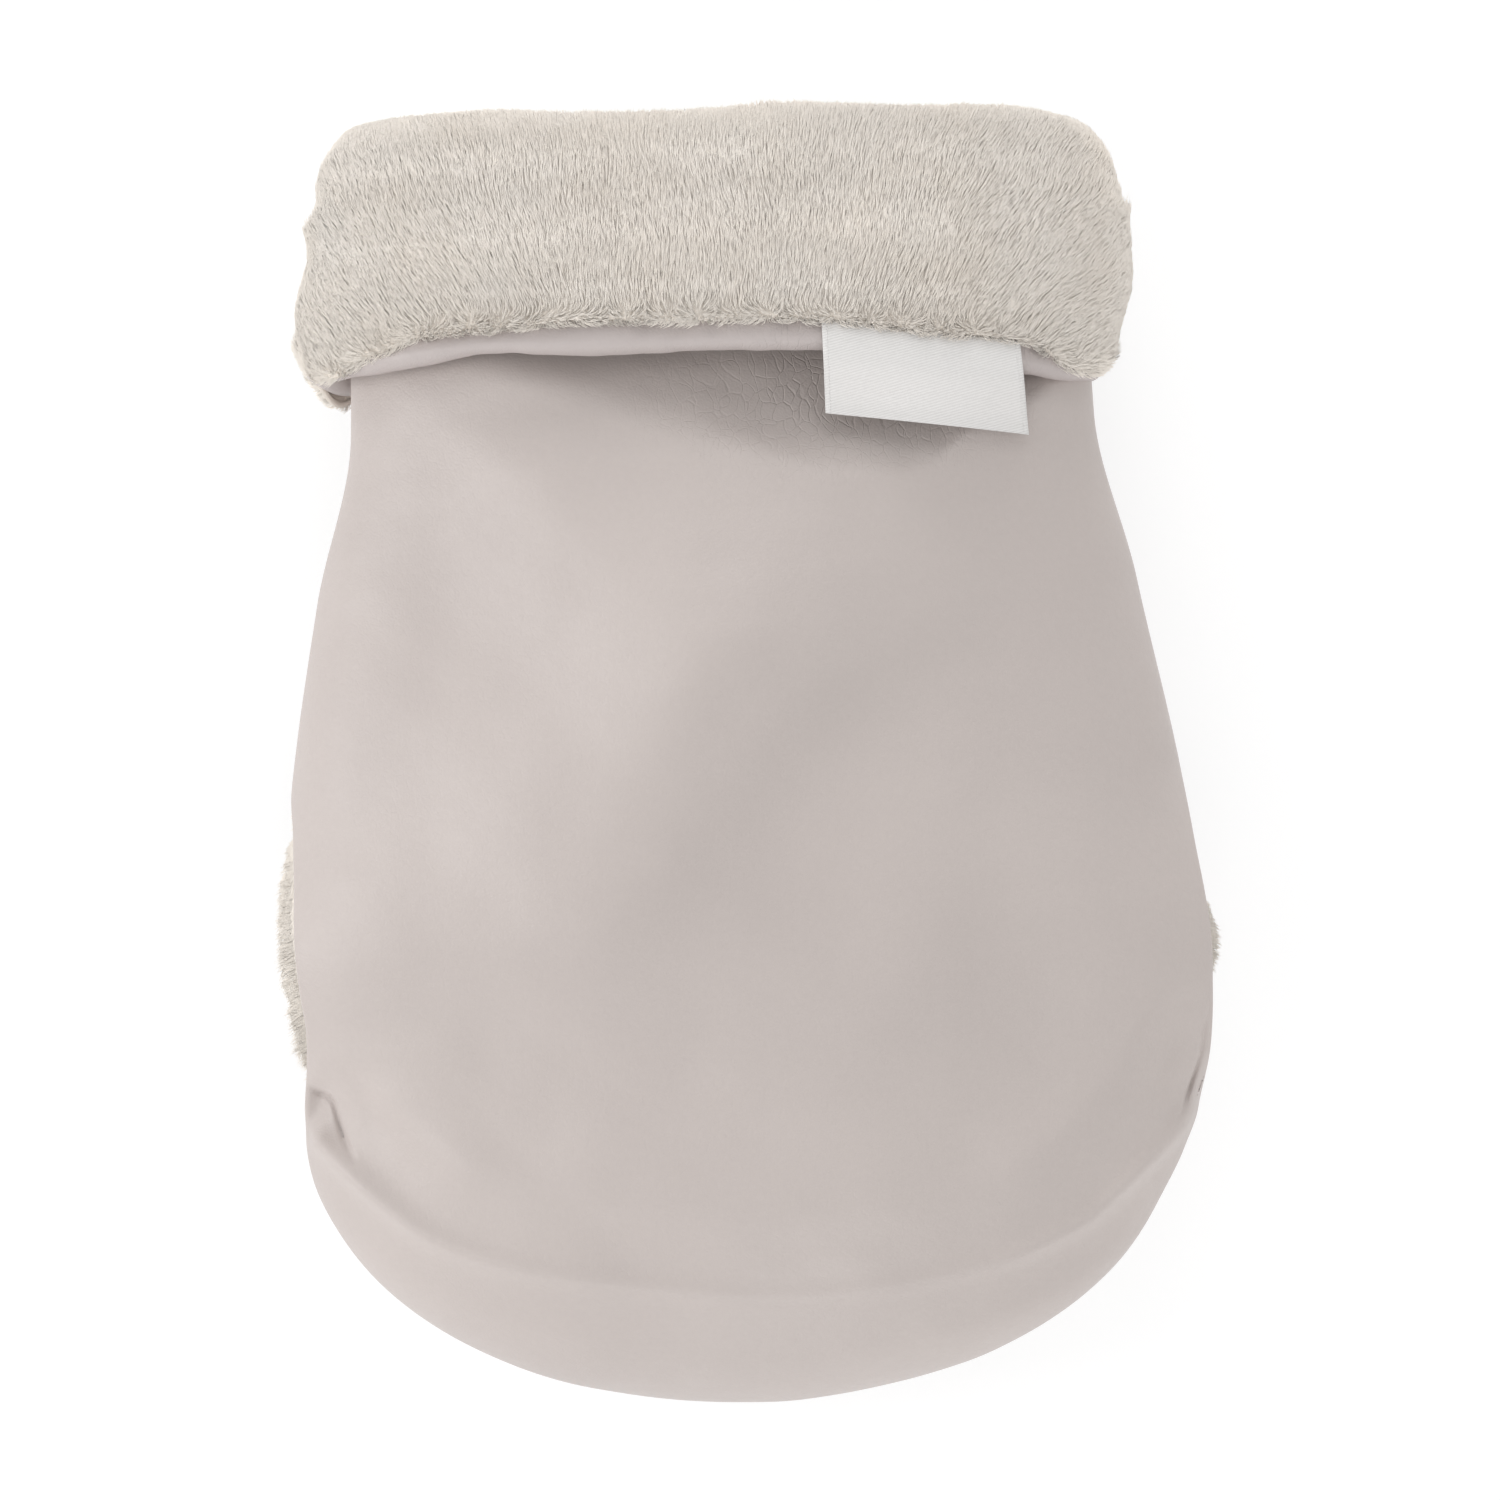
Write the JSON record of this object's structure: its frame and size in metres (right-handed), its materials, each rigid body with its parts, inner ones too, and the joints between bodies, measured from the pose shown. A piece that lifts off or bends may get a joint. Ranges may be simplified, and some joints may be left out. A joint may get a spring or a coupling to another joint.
{
  "type": "stroller hand muff",
  "caption": "Padded pouch for both hands that closes round a stroller's push bar, with side slits, a back flap on press studs, a turned-down plush cuff and a bare label.",
  "frame": {"origin": "middle of the rectangle that the muff covers when it lies on its back, at the height of the surface under it", "axes": "+Y from the toe to the turned-down cuff, +Z out of the front, X across it along the push bar"},
  "size_m": [0.323, 0.448, 0.1115],
  "materials": {
    "leatherette": "matt warm grey leatherette with a fine pebbled grain",
    "plush": "short cream plush pile",
    "padding": "white fibre wadding",
    "satin": "white woven satin with a fine twill",
    "snap_metal": "nickel-plated press stud"
  },
  "bodies": {
    "pouch": {"outer_front_panel": "leatherette", "front_wadding": "padding", "front_lining": "plush", "outer_back_panel": "leatherette", "back_hem_facing": "leatherette", "back_wadding": "padding", "back_lining": "plush", "toe_back_panel": "leatherette", "toe_wadding": "padding", "toe_lining": "plush", "cuff_facing": "leatherette", "cuff_wadding": "padding", "cuff_plush": "plush", "snap_stud_1": "snap_metal", "snap_stud_2": "snap_metal", "snap_stud_3": "snap_metal", "snap_post_1": "snap_metal", "snap_post_2": "snap_metal", "snap_post_3": "snap_metal"},
    "flap": {"flap_outer": "leatherette", "flap_hem_facing": "leatherette", "flap_wadding": "padding", "flap_lining": "plush", "snap_cap_1": "snap_metal", "snap_cap_2": "snap_metal", "snap_cap_3": "snap_metal", "snap_socket_1": "snap_metal", "snap_socket_2": "snap_metal", "snap_socket_3": "snap_metal"},
    "label": {"woven_label": "satin"}
  },
  "joints": [
    {"name": "flap_fold", "type": "hinge", "parent": "pouch", "child": "flap", "pos_m": [0, -0.126, 0], "axis": [-1, 0, 0], "range_deg": [0, 135]},
    {"name": "label_lift", "type": "hinge", "parent": "pouch", "child": "label", "pos_m": [0.06628, 0.1419, 0.10602], "axis": [-0.9824, 0.0929, 0.1623], "range_deg": [0, 100]}
  ]
}
